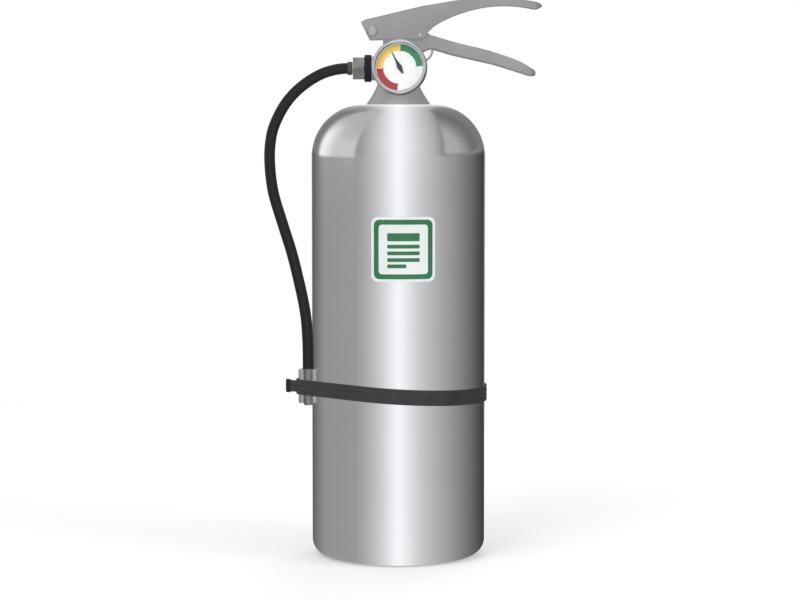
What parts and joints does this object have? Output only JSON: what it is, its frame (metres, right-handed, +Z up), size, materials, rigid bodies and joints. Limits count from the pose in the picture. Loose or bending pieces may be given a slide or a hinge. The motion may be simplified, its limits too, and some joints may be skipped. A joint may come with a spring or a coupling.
{
  "type": "fire extinguisher",
  "caption": "Upright stored-pressure fire extinguisher: steel cylinder, squeeze-grip valve with pressure gauge and safety pin, hose with nozzle held by a rubber strap.",
  "frame": {"origin": "centre of the foot ring, on the floor that the extinguisher stands on", "axes": "+Z up along the cylinder's axis; the gauge and the label face -Y; the hose leaves towards -X and the lever and carry handle point to +X"},
  "size_m": [0.2544, 0.1662, 0.5143],
  "materials": {
    "stainless": "satin-polished stainless steel",
    "cast_alloy": "bead-blasted cast alloy",
    "pressed_steel": "brushed pressed steel",
    "plated_steel": "bright zinc plate",
    "spring_steel": "drawn spring wire",
    "black_metal": "blackened crimp",
    "nozzle_metal": "dark anodised",
    "gauge_rim": "satin stainless",
    "brass": "turned brass",
    "rubber": "matt black rubber",
    "hose_rubber": "smooth black hose cover",
    "black_plastic": "moulded black plastic",
    "white_plastic": "natural plastic tube",
    "dial": null,
    "pointer": "black and grey paint",
    "lens": "clear moulded lens",
    "label": "printed label, green border round a blank white field"
  },
  "bodies": {
    "vessel": {"lower_shell": "stainless", "upper_shell": "stainless", "label_plate": "label", "neck_ring": "stainless", "neck_collar": "cast_alloy", "neck_o_ring": "rubber", "valve_body": "cast_alloy", "stem_o_ring": "rubber", "return_spring": "spring_steel", "dip_tube": "white_plastic", "dip_tube_strainer": "black_plastic", "carry_handle": "pressed_steel", "lever_pivot_pin": "plated_steel", "handle_rivet_rear": "plated_steel", "handle_rivet_front": "plated_steel", "gauge_stem": "brass", "gauge_case": "gauge_rim", "gauge_bezel": "gauge_rim", "gauge_dial": "dial", "gauge_lens": "lens", "bourdon_coil": "brass", "outlet_adapter": "brass", "outlet_ring": "black_plastic", "outlet_nut": "plated_steel", "outlet_washer": "rubber", "hose_tail": "brass", "hose_ferrule": "black_metal", "hose": "hose_rubber", "strap": "rubber", "strap_clasp": "black_plastic", "hose_clip": "plated_steel", "nozzle": "nozzle_metal", "nozzle_ferrule": "nozzle_metal"},
    "lever": {"lever": "pressed_steel"},
    "valve_stem": {"valve_stem": "plated_steel", "seat_seal": "rubber"},
    "safety_pin": {"safety_pin": "plated_steel"},
    "pull_ring": {"pull_ring": "spring_steel"},
    "needle": {"gauge_pointer": "pointer", "pointer_spindle": "brass"}
  },
  "joints": [
    {"name": "lever_squeeze", "type": "hinge", "parent": "vessel", "child": "lever", "pos_m": [-0.024, 0, 0.484], "axis": [0, 1, 0], "range_deg": [0, 12]},
    {"name": "stem_travel", "type": "slide", "parent": "vessel", "child": "valve_stem", "axis": [0, 0, -1], "range_m": [0, 0.0055], "stiffness_N_per_m": 1500, "springref_m": -0.006, "deforming": ["return_spring"]},
    {"name": "pin_pull", "type": "slide", "parent": "vessel", "child": "safety_pin", "axis": [0, 1, 0], "range_m": [0, 0.03]},
    {"name": "ring_swing", "type": "hinge", "parent": "safety_pin", "child": "pull_ring", "pos_m": [0.0195, 0.0184, 0.48], "axis": [1, 0, 0], "range_deg": [-5, 150]},
    {"name": "needle_turn", "type": "hinge", "parent": "vessel", "child": "needle", "pos_m": [0.002, -0.0215, 0.4495], "axis": [-0.1032, -0.9823, 0.1564], "range_deg": [-110, 130]}
  ],
  "couplings": [
    {"joint": "stem_travel", "follows": "lever_squeeze", "m_per_rad": 0.026}
  ]
}
